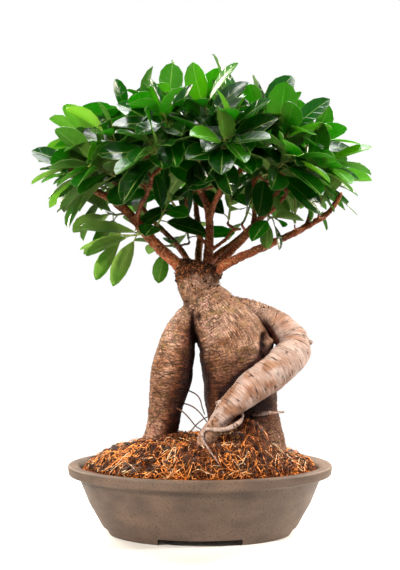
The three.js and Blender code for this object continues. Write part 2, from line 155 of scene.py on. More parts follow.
def node(tree, kind, sockets=(), stops=(), give=0, **settings):
    """A new node with its settings. Its sockets, in order or by name, are set to a value or linked to another
    node's output. It gives one of its own outputs."""
    made = tree.nodes.new("ShaderNode" + kind)
    for name, value in settings.items():
        setattr(made, name, value)
    for name, value in sockets.items() if isinstance(sockets, dict) else enumerate(sockets):
        if isinstance(value, bpy.types.NodeSocket):
            tree.links.new(value, made.inputs[name])
        else:
            made.inputs[name].default_value = linear(value) if isinstance(value, str) else value
    for i, (place, colour) in enumerate(stops):
        stop = made.color_ramp.elements[i] if i < 2 else made.color_ramp.elements.new(place)
        stop.position, stop.color = place, linear(colour)
    return made.outputs[give] if made.outputs else made


def material(surface):
    """Turns a function that lays out a surface into one that makes the material, under its own name."""
    def make(*choices, name=surface.__name__):
        made = bpy.data.materials.new(name)
        made.use_nodes = True
        made.node_tree.nodes.clear()
        add = functools.partial(node, made.node_tree)
        add("OutputMaterial", {"Surface": surface(add, *choices)})
        return made
    return make


def in_sizes(add, sizes, attribute=None):
    """A place, each way divided by a size in millimetres: the object's own place, which is in metres, or one
    that the piece keeps as an attribute, in millimetres."""
    place = (add("Attribute", give="Vector", attribute_name=attribute) if attribute
             else add("TexCoord", give="Object"))
    unit = 1 if attribute else 1000
    return add("Mapping", {"Vector": place, "Scale": [unit / size for size in sizes]})


def mottle(add, sizes, detail, rough=0.5, attribute=None):
    """Light and dark blotches, of the given sizes in millimetres."""
    return add("TexNoise", {
        "Vector": in_sizes(add, sizes, attribute), "Scale": 1.0, "Detail": detail, "Roughness": rough})


def on_bark(add, sizes, detail=3.0, rough=0.6):
    """Blotches that follow the bark: their sizes are across, through and along the root."""
    return mottle(add, sizes, detail, rough, "bark_place")


def cracks(add, sizes, thick):
    """Thin lines between plates of bark of the given size across, through and along the root."""
    to_edge = add("TexVoronoi", {"Vector": in_sizes(add, sizes, "bark_place"), "Scale": 1.0},
                  feature="DISTANCE_TO_EDGE")
    return add("MapRange", [to_edge, thick, 0.25 * thick])


@material
def matt_white_floor(add):
    """Matt white studio sweep: only the pot's soft shadow shows on it, and away from the pot it goes over
    into the white room without a horizon."""
    away = add("VectorMath", [add("TexCoord", give="Object")], give="Value", operation="LENGTH")
    share = add("MapRange", [away, 0.2, 0.62])
    paint = add("BsdfPrincipled", {"Base Color": "#fbfaf8", "Roughness": 0.9})
    seen = add("LightPath", give="Is Camera Ray")
    room = add("Emission", ["#ffffff", add("MapRange", [seen, 0, 1, FLOOR_GLOW, 1])])
    return add("MixShader", [share, paint, room])


@material
def unglazed_stoneware(add):
    """Wheel-thrown, unglazed brown stoneware: matt, with fine iron specks and faint turning lines."""
    clay = add("ValToRGB", [mottle(add, (38, 38, 22), 4.0)], [(0.3, "#4a3a30"), (0.7, "#6a5546")])
    specks = mottle(add, (1.6, 1.6, 1.6), 1.0)
    iron = add("MapRange", [specks, 0.62, 0.7])
    colour = add("MixRGB", [iron, clay, "#2c211b"])
    lines = mottle(add, (90, 90, 1.8), 2.0)
    relief = add("MixRGB", [0.4, lines, specks])
    bump = add("Bump", {"Height": relief, "Strength": 0.35, "Distance": 0.0006})
    return add("BsdfPrincipled", {"Base Color": colour, "Roughness": 0.62, "IOR": 1.5, "Normal": bump})


@material
def moulded_black_polyethylene(add):
    """Moulded black polyethylene mesh: near black, with a dull waxy shine."""
    grain = mottle(add, (2, 2, 2), 2.0)
    colour = add("ValToRGB", [grain], [(0.35, "#1c1d1a"), (0.65, "#2a2b27")])
    bump = add("Bump", {"Height": grain, "Strength": 0.2, "Distance": 0.0003})
    return add("BsdfPrincipled", {"Base Color": colour, "Roughness": 0.55, "IOR": 1.51, "Normal": bump})


@material
def ground_coir_pith(add):
    """Ground coconut husk: loose, matt crumbs from orange to dark brown, with darker damp patches and
    painted shade by the feet of the roots.
    """
    patches = mottle(add, (16, 16, 16), 3.0)
    crumbs = mottle(add, (2.6, 2.6, 2.6), 4.0)
    dry = add("ValToRGB", [crumbs], [(0.38, "#0f0602"), (0.66, "#c8702a"), (0.52, "#522409")])
    damp = add("MapRange", [patches, 0.5, 0.68, 0, 0.75])
    patchy = add("MixRGB", [damp, dry, "#1d0d06"])
    # Darker in the damp patches between the loose coir, and in painted shade by the feet of the roots.
    wet = add("Math", [add("Attribute", give="Fac", attribute_name="wet"), 0.85],
              operation="MULTIPLY")
    colour = add("MixRGB", [wet, patchy, "#160a05"])
    bump = add("Bump", {"Height": crumbs, "Strength": 0.9, "Distance": 0.002})
    return add("BsdfPrincipled", {
        "Base Color": colour, "Roughness": 0.95, "Specular IOR Level": 0.1, "Normal": bump})


@material
def coir_fibre(add, dark, pale):
    """Combed husk fibre: stiff, slightly shiny hairs whose colour changes from one hair to the next."""
    colour = add("ValToRGB", [mottle(add, (5, 5, 5), 2.0)], [(0.38, dark), (0.62, pale)])
    return add("BsdfPrincipled", {"Base Color": colour, "Roughness": 0.6, "Specular IOR Level": 0.2})


@material
def broken_pine_bark(add):
    """Broken pine bark: dark red-brown flakes in thin layers, paler where they are torn."""
    layers = mottle(add, (7, 7, 1.6), 4.0)
    colour = add("ValToRGB", [layers], [(0.35, "#1d0f09"), (0.7, "#6b4128"), (0.52, "#3b2013")])
    bump = add("Bump", {"Height": layers, "Strength": 0.8, "Distance": 0.0012})
    return add("BsdfPrincipled", {"Base Color": colour, "Roughness": 0.75, "Normal": bump})


@material
def ficus_root_bark(add):
    """Living ficus root bark: a thin, matt, pink-grey skin. It is wrinkled to a fine net on the neck, drawn
    out in lines on the shoulder, and torn into flat plates lower down. The arm root is paler, with thin rings
    and rust-coloured patches. Dark crumbs cover the neck's end and the scars. Painted shade, dark brown, lies
    in the folds, in the scars, where the root hides its own sky, low on the body and on the leg's inner side."""
    pale, crust, drawn, torn, damp, shade = (
        add("Attribute", give="Fac", attribute_name=name)
        for name in ("pale", "crust", "drawn", "torn", "damp", "shade"))
    skin = add("ValToRGB", [on_bark(add, (20, 20, 17), 5.0)],
               [(0.3, "#8c6045"), (0.7, "#d2b9ab"), (0.5, "#b08c76")])
    mossy = add("MapRange", [mottle(add, (12, 12, 10), 4.0), 0.54, 0.68, 0, 0.6])
    aged = add("MixRGB", [mossy, skin, "#8b7838"])
    arm_skin = add("ValToRGB", [on_bark(add, (24, 24, 15), 4.0, 0.55)],
                   [(0.36, "#bba9a2"), (0.72, "#a0745b"), (0.55, "#ad958b")])
    coloured = add("MixRGB", [pale, aged, arm_skin])
    # Grain, rings on the arm, and the lines along the shoulder.
    grain = on_bark(add, (2.6, 2.6, 2.2), 4.0, 0.75)
    rings = on_bark(add, (16, 16, 1.4))
    lines = on_bark(add, (0.9, 0.9, 15))
    ringed = add("MixRGB", [add("MapRange", [pale, 0, 1, 0.4, 0.75]), grain, rings])
    surface = add("MixRGB", [drawn, ringed, lines])
    toned = add("ValToRGB", [surface], [(0.36, "#1f1510"), (0.64, "#e4d8cf"), (0.5, "#827a73")])
    wear = add("MapRange", [pale, 0, 1, 0.8, 0.38])
    weathered = add("MixRGB", [wear, coloured, toned], blend_type="OVERLAY")
    # The net of wrinkles, the drawn lines, the plates, and the broken rings on the arm.
    net = cracks(add, (3.4, 3.4, 5.0), 0.17)
    drawn_net = cracks(add, (1.9, 1.9, 12), 0.16)
    plates = cracks(add, (9.5, 9.5, 3.7), 0.13)
    long_cracks = cracks(add, (30, 30, 9), 0.05)
    level = add("Math", [on_bark(add, (38, 38, 4.2), 1.0), 0.5], operation="SUBTRACT")
    near_level = add("Math", [level, 0.0], operation="ABSOLUTE")
    across = add("MapRange", [near_level, 0.034, 0.01])
    broken = add("MapRange", [on_bark(add, (9, 9, 6)), 0.44, 0.58, 0, 0.85])
    dashes = add("Math", [across, broken], operation="MULTIPLY")
    wrinkled = add("MixRGB", [drawn, net, drawn_net])
    plated = add("Math", [plates, long_cracks], operation="MAXIMUM")
    on_body = add("MixRGB", [torn, wrinkled, plated])
    kept = add("MapRange", [on_bark(add, (9, 9, 9)), 0.36, 0.58, 0.1, 0.8])
    body_cracks = add("Math", [on_body, kept], operation="MULTIPLY")
    crack = add("MixRGB", [pale, body_cracks, dashes])
    cracked = add("MixRGB", [crack, weathered, "#2e1a10"])
    # A warm brown tint: the rust on the arm, and painted shade low on the body and on the leg's inner side.
    rusted_and_shaded = add("MixRGB", [damp, cracked, "#c99f77"], blend_type="MULTIPLY")
    crumbs = mottle(add, (2.8, 2.8, 2.8), 5.0, 0.65)
    crust_skin = add("ValToRGB", [crumbs], [(0.4, "#120906"), (0.7, "#b87038"), (0.54, "#44230f")])
    crusted = add("MixRGB", [crust, rusted_and_shaded, crust_skin])
    # Painted shade, dark brown, in the folds, the scars and the sheltered places.
    colour = add("MixRGB", [shade, crusted, "#4c220e"], blend_type="MULTIPLY")
    relief = add("Math", [surface, crack], operation="SUBTRACT")
    height = add("MixRGB", [crust, relief, crumbs])
    bump = add("Bump", {"Height": height, "Strength": 0.9, "Distance": 0.0013})
    return add("BsdfPrincipled", {
        "Base Color": colour, "Roughness": 0.7, "Specular IOR Level": 0.14, "Normal": bump})


@material
def ficus_limb_bark(add):
    """Young ficus bark: red-brown and slightly waxy, ringed by leaf scars and flecked with pale cork."""
    skin = add("ValToRGB", [mottle(add, (15, 15, 15), 4.0)],
               [(0.3, "#6b341c"), (0.7, "#a5623c"), (0.5, "#874929")])
    rings = on_bark(add, (3.2, 3.2, 1.3), 4.0, 0.65)
    ringed = add("ValToRGB", [rings], [(0.38, "#1c0c05"), (0.62, "#f0d6bc")])
    base = add("MixRGB", [0.75, skin, ringed], blend_type="OVERLAY")
    corky = on_bark(add, (1.8, 1.8, 2.4))
    fleck = add("MapRange", [corky, 0.56, 0.64, 0, 0.75])
    colour = add("MixRGB", [fleck, base, "#c79a6c"])
    relief = add("MixRGB", [0.4, rings, corky])
    bump = add("Bump", {"Height": relief, "Strength": 0.8, "Distance": 0.0009})
    return add("BsdfPrincipled", {
        "Base Color": colour, "Roughness": 0.55, "Specular IOR Level": 0.25, "Normal": bump})


@material
def green_shoot_skin(add):
    """This year's green shoot and its leaf stalks: smooth, waxy and yellow-green."""
    colour = add("ValToRGB", [mottle(add, (9, 9, 9), 2.0)], [(0.35, "#6d7a2c"), (0.65, "#9db04a")])
    return add("BsdfPrincipled", {"Base Color": colour, "Roughness": 0.42, "IOR": 1.45})


def blade_marks(add):
    """Masks of the blade's midrib, of its side veins and of its pale margin."""
    blade = add("UVMap", uv_map="blade")
    side = add("SeparateXYZ", [blade])
    centred = add("Math", [side, 0.5], operation="SUBTRACT")
    across = add("Math", [centred, 0.0], operation="ABSOLUTE")
    midrib = add("MapRange", [across, 0.034, 0.012])
    margin = add("MapRange", [across, 0.47, 0.488, 0, 0.6])
    # Side veins leave the midrib at a slant, eleven pairs along the blade.
    slanted = add("Math", [across, -0.36, side.node.outputs["Y"]], operation="MULTIPLY_ADD")
    pairs = add("Math", [slanted, 11.0], operation="MULTIPLY")
    wrapped = add("Math", [pairs, 1.0], operation="PINGPONG")
    veins = add("MapRange", [wrapped, 0.16, 0.02])
    return midrib, veins, margin


@material
def leaf_face(add, upper):
    """Living ficus leaf: thick and leathery, glossy dark green above and matt olive below. Light from behind
    shines through it as a bright yellow-green, and its midrib and margin are pale."""
    midrib, veins, margin = blade_marks(add)
    tone = add("Attribute", give="Fac", attribute_name="leaf_tone")
    stops = ([(0.0, "#041504"), (1.0, "#449014"), (0.6, "#0d3e08")] if upper
             else [(0.0, "#56802c"), (1.0, "#b2cf68"), (0.6, "#7fa843")])
    green = add("ValToRGB", [tone], stops)
    shade = add("MapRange", [mottle(add, (12, 12, 12), 2.0), 0.3, 0.7, 0, 0.28])
    mottled = add("MixRGB", [shade, green, "#041603" if upper else "#33491f"])
    vein_share = add("Math", [veins, 0.05 if upper else 0.12], operation="MULTIPLY")
    veined = add("MixRGB", [vein_share, mottled, "#9cc25a"])
    pale = add("Math", [midrib, margin], operation="MAXIMUM")
    pale_share = add("Math", [pale, 0.62], operation="MULTIPLY")
    colour = add("MixRGB", [pale_share, veined, "#b5cf6e"])
    relief = add("Math", [midrib, veins], operation="MAXIMUM")
    bump = add("Bump", {"Height": relief, "Strength": 0.35, "Distance": 0.0005}, invert=upper)
    skin = add("BsdfPrincipled", {
        "Base Color": colour, "Roughness": 0.2 if upper else 0.5, "Normal": bump,
        "Specular IOR Level": 0.6 if upper else 0.16})
    glow_tone = add("ValToRGB", [tone], [(0.0, "#2f9e06"), (1.0, "#b6f020"), (0.6, "#55c80a")])
    glow_colour = add("MixRGB", [vein_share, glow_tone, "#d8f08a"])
    glow = add("BsdfTranslucent", {"Color": glow_colour})
    return add("MixShader", [0.4, skin, glow])


# Curves
def curve_points(points, shares):
    """Points at the given shares of a smooth curve through points (centripetal Catmull-Rom)."""
    points = np.asarray(points, float)
    last = len(points) - 1
    padded = np.vstack([2 * points[0] - points[1], points, 2 * points[-1] - points[-2]])
    place = np.clip(np.asarray(shares, float), 0, 1) * last
    i = np.minimum(place.astype(int), last - 1)
    w = (place - i)[:, None]
    x0, x1, x2, x3 = (padded[i + k] for k in range(4))
    d0, d1, d2 = (((b - a) ** 2).sum(1, keepdims=True) ** 0.25 for a, b in ((x0, x1), (x1, x2), (x2, x3)))
    d1 = np.where(d1 < 1e-4, 1.0, d1)
    d0 = np.where(d0 < 1e-4, d1, d0)
    d2 = np.where(d2 < 1e-4, d1, d2)
    t1 = ((x1 - x0) / d0 - (x2 - x0) / (d0 + d1) + (x2 - x1) / d1) * d1
    t2 = ((x2 - x1) / d1 - (x3 - x1) / (d1 + d2) + (x3 - x2) / d2) * d1
    return x1 + t1 * w + (3 * (x2 - x1) - 2 * t1 - t2) * w ** 2 + (2 * (x1 - x2) + t1 + t2) * w ** 3


def unit(rows):
    return rows / np.linalg.norm(rows, axis=-1, keepdims=True)


class Run:
    """A curve sampled evenly along its length, with its directions and the two radii of a root round it."""

    def __init__(self, stations, steps, across=None):
        rows = np.array([(*s, s[3])[:5] for s in stations], float)
        fine = curve_points(rows[:, :3], np.linspace(0, 1, 201))
        lengths = np.concatenate([[0], np.cumsum(np.linalg.norm(np.diff(fine, axis=0), axis=1))])
        self.shares = np.linspace(0, 1, steps + 1)
        t = np.interp(self.shares * lengths[-1], lengths, np.linspace(0, 1, 201))
        self.middle = curve_points(rows[:, :3], t)
        self.along = unit(curve_points(rows[:, :3], t + 1e-4) - curve_points(rows[:, :3], t - 1e-4))
        self.reach = self.shares * lengths[-1]
        chord = np.abs(rows[-1, :3] - rows[0, :3])
        side = np.array(across, float) if across else np.eye(3)[chord.argmin()]
        self.first = unit(side - self.along * (self.along @ side)[:, None])
        self.second = np.cross(self.along, self.first)
        self.radii = curve_points(rows[:, 3:] @ np.eye(2, 3), t)[:, :2]


def tapered(points, radii):
    last = len(points) - 1
    return [(*p, radii[0] + (radii[1] - radii[0]) * i / last) for i, p in enumerate(points)]


def add_tube(bm, run, sides, ripple=0.0, blunt=0.0):
    """A closed tube round a run. With blunt, its two ends are rounded over that share of the length."""
    steps = len(run.shares) - 1
    sheet = bmesh.ops.create_grid(bm, x_segments=sides, y_segments=steps, size=1)["verts"]
    for v in sheet:
        i = round((v.co.y + 1) / 2 * steps)
        angle = math.pi * (v.co.x + 1)
        share = run.shares[i]
        swell = 1 + ripple * (math.sin(3 * angle + 9 * share) + math.sin(5 * angle - 17 * share))
        if blunt:
            swell *= math.sqrt(max(0.02, 1 - max(0, 1 - min(share, 1 - share) / blunt) ** 2))
        wide, deep = run.radii[i] * swell
        v.co = run.middle[i] + run.first[i] * wide * math.sin(angle) + run.second[i] * deep * math.cos(angle)
    bmesh.ops.remove_doubles(bm, verts=sheet, dist=1e-5)
    sheet = [v for v in sheet if v.is_valid]
    ends = {e for v in sheet for e in v.link_edges if e.is_boundary}
    bmesh.ops.holes_fill(bm, edges=list(ends), sides=sides)
    return sheet


# Pieces
def set_down(name, bm, materials, replaces=(), smooth=True):
    """Puts a finished piece, made in millimetres, into the frame, and hides the imported parts that it
    replaces.
    """
    bmesh.ops.transform(bm, matrix=INTO_FRAME, verts=bm.verts)
    for face in bm.faces:
        face.smooth = smooth
    piece = stand(name, mesh_from(name, bm))
    for made in materials:
        piece.data.materials.append(made)
    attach(piece, "root")
    if replaces:
        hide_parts(*replaces)
    return piece


def worked(bm, modifiers):
    """The bmesh after a list of (kind, settings) modifiers, applied in order."""
    mesh = mesh_from("blank", bm)
    blank = stand("blank", mesh)
    for kind, settings in modifiers:
        modifier = blank.modifiers.new(kind, kind)
        for name, value in settings.items():
            setattr(modifier, name, value)
    done = baked(blank)
    bpy.data.meshes.remove(mesh)
    return done


def keep(bm, **attributes):
    """Gives every point its own numbers or places, under the names of the arguments."""
    for name, values in attributes.items():
        is_place = np.ndim(values) == 2
        layer = (bm.verts.layers.float_vector if is_place else bm.verts.layers.float).new(name)
        for v, value in zip(bm.verts, values):
            v[layer] = Vector(value) if is_place else float(value)


# Pot
def pot():
    """Oval pot with a rolled rim, on four feet, with two drain holes."""
    profile = [
        (0, FOOT_HEIGHT), (94, FOOT_HEIGHT), (96, 0), (111, 0), (118, FOOT_HEIGHT + 1), (133, 36), (145, 66),
        (157, 69), (158, 78.5), (156.5, POT_HEIGHT), (146, POT_HEIGHT),
        (MOUTH_RADIUS, POT_HEIGHT - 4), (141, MOUND_EDGE - 2), (137, 62), (123, 34), (108, 18), (0, 18)]
    bm = bmesh.new()
    verts = [bm.verts.new((r, 0, z)) for r, z in profile]
    edges = [bm.edges.new(pair) for pair in zip(verts, verts[1:])]
    bmesh.ops.spin(bm, geom=verts + edges, cent=(0, 0, 0), axis=(0, 0, 1), angle=2 * math.pi, steps=120,
                   use_merge=True)
    bmesh.ops.remove_doubles(bm, verts=bm.verts, dist=1e-3)
    bmesh.ops.recalc_face_normals(bm, faces=bm.faces)
    bends = [e for e in bm.edges if len(e.link_faces) == 2 and e.calc_face_angle() > 0.5]
    bmesh.ops.bevel(bm, geom=bends, offset=1.3, offset_type="OFFSET", affect="EDGES", segments=3, profile=0.5,
                    material=-1)
    bmesh.ops.scale(bm, vec=(1, OVAL, 1), verts=bm.verts)
    cutters = bmesh.new()
    # Two crossed bars cut the foot ring into four feet. They stop a little short of the pot's floor.
    notch = 2 * (FOOT_HEIGHT - 1.5)
    for size in ((96, POT_DEPTH + 20, notch), (POT_LENGTH + 20, 62, notch)):
        box = bmesh.ops.create_cube(cutters, size=1)["verts"]
        bmesh.ops.scale(cutters, vec=size, verts=box)
    for x in (-DRAIN_X, DRAIN_X):
        hole = bmesh.ops.create_cone(cutters, cap_ends=True, segments=40, radius1=DRAIN_RADIUS,
                                     radius2=DRAIN_RADIUS, depth=60)["verts"]
        bmesh.ops.translate(cutters, vec=(x, 0, 0), verts=hole)
    cutter = stand("cutters", mesh_from("cutters", cutters))
    bm = worked(bm, [("BOOLEAN", {"object": cutter, "operation": "DIFFERENCE", "use_self": True})])
    bpy.data.objects.remove(cutter)
    piece = set_down("stoneware_pot", bm, [unglazed_stoneware()], ["pot"])
    piece.data.set_sharp_from_angle(angle=math.radians(35))


# Mound
# Its piles, each with its place, rise and spread, and the feet of the roots, with the reach of the painted
# shade round them
PILES = [(-30, -30, 4, 40), (8, -62, 13, 24), (60, -48, 34, 17), (-48, -32, 4, 20)]
ROOT_FEET = [(-50, -14, 34), (-28, -30, 16), (2, -64, 17), (62, 4, 52)]
# Its outer edge, and how far out loose coir, bark and fibres lie, as a share of the pot's mouth
MOUND_RADIUS = 140.3
LOOSE_REACH, CHIP_REACH, FIBRE_REACH = 0.94, 0.9, 0.955
MOUND_PATCH = 13


def mound_height(x, y):
    reach = math.hypot(x / MOUTH_RADIUS, y / (MOUTH_RADIUS * OVAL))
    dome = max(0.0, 1 - reach * reach)
    height = MOUND_EDGE + MOUND_RISE * dome ** 0.75
    for px, py, rise, spread in PILES:
        away = ((x - px) ** 2 + (y - py) ** 2) / (2 * spread * spread)
        height += rise * math.exp(-away) * min(1, 3 * dome)
    lumps = math.sin(x / 6.1 + 1.7 * math.sin(y / 9.3)) * math.cos(y / 5.7 + 1.3 * math.sin(x / 8.1))
    return height + 2.2 * lumps * min(1, 4 * dome)


def patch_at(x, y):
    """The patches in which loose and damp coir lie on the mound, from -1 to 1."""
    return noise.noise(Vector((x / MOUND_PATCH, y / MOUND_PATCH, 3)))


def mound():
    """The crumbly top of the coir, and the plain block of it inside the pot."""
    bm = bmesh.new()
    bmesh.ops.create_grid(bm, x_segments=200, y_segments=160, size=1)
    for v in bm.verts:
        x, y = v.co.x, v.co.y
        v.co.x = MOUND_RADIUS * x * math.sqrt(1 - y * y / 2)
        v.co.y = MOUND_RADIUS * OVAL * y * math.sqrt(1 - x * x / 2)
        inward = min(1, 12 * (1 - max(abs(x), abs(y))))
        crumbs = noise.noise(v.co / 4.2) * 1.5 + noise.noise(v.co / 2.1 + Vector((9, 0, 0))) * 0.8
        v.co.z = mound_height(v.co.x, v.co.y) - 0.8 + crumbs * inward
    rim = [e for e in bm.edges if e.is_boundary]
    for share, z in ((0.97, 62), (0.87, 34), (0.76, 20.5)):
        wall = bmesh.ops.extrude_edge_only(bm, edges=rim)["geom"]
        for v in (g for g in wall if isinstance(g, bmesh.types.BMVert)):
            inwards = MOUND_RADIUS * share / math.hypot(v.co.x, v.co.y / OVAL)
            v.co = Vector((v.co.x * inwards, v.co.y * inwards, z))
        rim = [g for g in wall if isinstance(g, bmesh.types.BMEdge)]
    bmesh.ops.holes_fill(bm, edges=rim)
    bmesh.ops.recalc_face_normals(bm, faces=bm.faces)
    # The coir is darker by the feet of the roots, as painted shade, and damp and dark between the patches of
    # loose coir.
    wet = []
    for v in bm.verts:
        x, y, _ = v.co
        feet = max(math.exp(-(((x - fx) ** 2 + (y - fy) ** 2) / r ** 2) ** 2) for fx, fy, r in ROOT_FEET)
        wet.append(min(1, feet + max(0, -1.6 * patch_at(x, y))))
    keep(bm, wet=wet)
    set_down("coir_mound", bm, [ground_coir_pith()], ["soil"])


def strands(name, paths, made):
    """A mass of fine fibres, each a short run of points with a radius, as one piece."""
    curve = bpy.data.curves.new(name, "CURVE")
    curve.dimensions, curve.bevel_depth, curve.bevel_resolution = "3D", 1.0, 0
    curve.use_fill_caps = True
    for points, radius in paths:
        spline = curve.splines.new("POLY")
        spline.points.add(len(points) - 1)
        for i, (point, place) in enumerate(zip(spline.points, points)):
            point.co = (*place, 1)
            point.radius = radius * (0.45 if i in (0, len(points) - 1) else 1)
    set_down(name, baked(stand(name + "_line", curve)), [made])


def lying_fibre(draw, x, y, length, curl, lift):
    """A fibre that lies on the mound: it starts just under the surface, arches and dips again."""
    heading = draw.uniform(0, 2 * math.pi)
    turn = draw.uniform(-curl, curl)
    steps = 6
    points = []
    for i in range(steps):
        share = i / (steps - 1)
        arch = math.sin(math.pi * share) * lift - 0.6
        points.append((x, y, mound_height(x, y) + arch))
        heading += turn / steps + draw.uniform(-0.45, 0.45)
        x += math.cos(heading) * length / steps
        y += math.sin(heading) * length / steps
        out = math.hypot(x, y / OVAL) / (FIBRE_REACH * MOUTH_RADIUS)
        if out > 1:
            x, y, heading = x / out, y / out, heading + 2.2
    return points


def mound_spot(draw, most, clump=0):
    """A place on the mound. A clump of 1 keeps to the patches of loose coir, and -1 to the gaps between."""
    while True:
        out, turn = math.sqrt(draw.random()) * most, draw.uniform(0, 2 * math.pi)
        x, y = MOUTH_RADIUS * out * math.cos(turn), MOUTH_RADIUS * OVAL * out * math.sin(turn)
        least = 0.25 * draw.uniform(-1, 1)
        if not clump or clump * patch_at(x, y) > least:
            return x, y


def coir():
    """Loose husk fibres on the mound, and a mat of fine roots."""
    # Name, number, darkest and palest colour, lengths, radii, and the clump that says where they lie
    kinds = [
        ("coir_orange", 1700, "#86390c", "#f9a451", (10, 30), (0.28, 0.5), 1),
        ("coir_pale", 420, "#b98550", "#f7dfba", (12, 36), (0.22, 0.42), 1),
        ("coir_dark", 1500, "#0e0502", "#47220e", (8, 28), (0.3, 0.75), -1),
    ]
    for seed, (name, count, dark, pale, lengths, radii, clump) in enumerate(kinds):
        draw = random.Random(40 + seed)
        paths = []
        for _ in range(count):
            length = draw.uniform(*lengths)
            x, y = mound_spot(draw, LOOSE_REACH, clump)
            paths.append((lying_fibre(draw, x, y, length, 2.6, draw.uniform(0.6, 0.2 * length)),
                          draw.uniform(*radii)))
        strands(name, paths, coir_fibre(dark, pale, name=name + "_fibre"))
    # Fine roots: a mat over the hump on the right, and tufts at the feet of the arm and of the leg.
    draw = random.Random(51)
    paths = []
    for x, y, spread, count in ((62, -52, 17, 420), (4, -74, 9, 220), (-34, -32, 13, 240)):
        for _ in range(count):
            at = draw.gauss(x, spread), draw.gauss(y, 0.7 * spread)
            paths.append((lying_fibre(draw, *at, draw.uniform(10, 32), 3.2, draw.uniform(0.8, 5.5)),
                          draw.uniform(0.25, 0.6)))
    strands("fine_roots", paths, coir_fibre("#1d0c06", "#7d4422", name="fine_root_hair"))


def bark_chips():
    """Flat, broken flakes on the mound, with one large one at the front left."""
    draw = random.Random(7)
    bm = bmesh.new()
    places = [(-78, -72, 13, 5.5, 0.3)] + [
        (*mound_spot(draw, CHIP_REACH), draw.uniform(3.0, 7.5), draw.uniform(2.0, 4.5),
         draw.uniform(-0.5, 0.5)) for _ in range(85)]
    for x, y, long, broad, tilt in places:
        chip = bmesh.ops.create_icosphere(bm, subdivisions=2, radius=1)["verts"]
        turn = Matrix.Rotation(draw.uniform(0, 6.28), 3, "Z") @ Matrix.Rotation(tilt, 3, "Y")
        seed = Vector((x, y, 0))
        for v in chip:
            torn = 1 + 0.45 * noise.noise(v.co * 1.7 + seed) + 0.2 * noise.noise(v.co * 4 + seed)
            flat = Vector((v.co.x * long, v.co.y * broad, max(-0.4, min(0.4, v.co.z)) * 3.2)) * torn
            v.co = turn @ flat + Vector((x, y, mound_height(x, y) + 1.4))
    set_down("bark_chips", bm, [broken_pine_bark()], smooth=False)


# Caudex
MIDDLE_ROOT = [
    (1, 0, 321, 23, 22), (-1.5, 0, 309, 28.5, 26), (-2, 0, 296, 25.5, 24), (1, 0, 285, 24, 23),
    (8, 0, 274, 27.5, 26), (16, 0, 261, 34, 30), (27, 0, 246, 38.5, 35), (37, 0, 231, 42, 38),
    (43, 0, 213, 45, 41), (48, 0, 189, 45.5, 42), (49.5, 0, 162, 44, 41), (52, 1, 136, 42.5, 40),
    (57, 3, 112, 43, 40), (62, 4, 84, 44, 40), (64, 4, 44, 34, 30)]
LEG_ROOT = [
    (-2, -2, 274, 13), (-12, -5, 256, 16), (-22, -8, 239, 19), (-28, -11, 220, 22.5), (-32, -13, 202, 24.5),
    (-34.5, -14, 184, 25), (-38, -14, 166, 22.5), (-41, -14, 148, 20), (-43.5, -14, 131, 19),
    (-46.5, -14, 114, 19.5), (-50, -14, 98, 22), (-53, -14, 76, 21), (-54, -14, 50, 14)]
ARM_ROOT = [
    (28, 3, 267, 16), (55, 8, 262, 15.5), (75, 11, 254, 16.5), (94, 9, 244, 17.8), (108.5, 1, 230, 19.5),
    (111, -12, 215, 20.5), (98, -28, 202.5, 20.8), (79, -43, 188.5, 20.2), (60, -54, 176.5, 18.5),
    (43.5, -62, 163.5, 15.8), (29.5, -66, 150, 12.8), (18, -68, 136, 10.3), (8.5, -67, 121, 9.8),
    (-1, -62, 96, 8)]
CURLED_ROOT = [
    (50, -62, 146, 2.4), (45, -73, 139, 2.8), (35, -80, 134, 3), (25, -82, 131.5, 3), (15, -80, 131.5, 2.8),
    (6, -77, 131, 2.4), (3, -78, 122, 1.6), (9, -87, 111, 1.4), (19, -96, 98, 1.3), (27, -100, 84, 1.2)]
STUBS = [
    [(32, -66, 159, 4), (25, -69, 161, 3.2), (18, -70, 159, 2.6)],
    [(58, -36, 143, 2.6), (78, -46, 146, 2.3), (99, -44, 147, 2.1)],
    [(124, -8, 223, 4), (129, -9, 225, 3.2), (134, -10, 227, 2.2)],
    [(-9, -18, 268, 4.5), (-13, -24, 266, 4), (-15, -28, 265, 2.5)]]
# The thin roots that cross the gap between the leg and the body
AERIAL_ROOTS = [
    [(-18, -18, 171), (-5, -20, 165), (0, -21, 159), (2.5, -22, 150), (6, -20, 140)],
    [(-24, -18, 155), (-11, -24, 152), (-3, -28, 147), (4, -30, 139), (16, -30, 121), (22, -32, 96)],
    [(-32, -28, 152), (-19, -34, 145), (-12, -38, 138), (-4, -40, 129), (4, -42, 124), (10, -46, 104)],
    [(-17, -34, 98), (-15, -33, 116), (-9, -31, 125), (0, -30, 134), (8, -30, 139), (18, -30, 141)]]
# Marks on the bark: place, radius and depth of a hollow, or with a negative depth of a swelling
HOLLOWS = [
    ((-4, -25, 257), 4.2, 4.5), ((75, -18, 232), 5.5, 6.0), ((75, -24, 223), 6.0, 7.0),
    ((74, -29, 213), 5.0, 5.0), ((85, -8, 226), 4.5, -2.5), ((0, -25, 263), 2.6, -1.6),
    ((-10, -22, 253), 2.6, -1.6)]

# Bark patterns on one root are shifted along it by this much from those on the root before it.
ROOT_SHIFT = 700
# Where the rough ring at the neck's end begins, how far off bark can shade a point, and the flakes' number
RING_HEIGHT, SHADE_REACH, FLAKES = 299, 34, 170


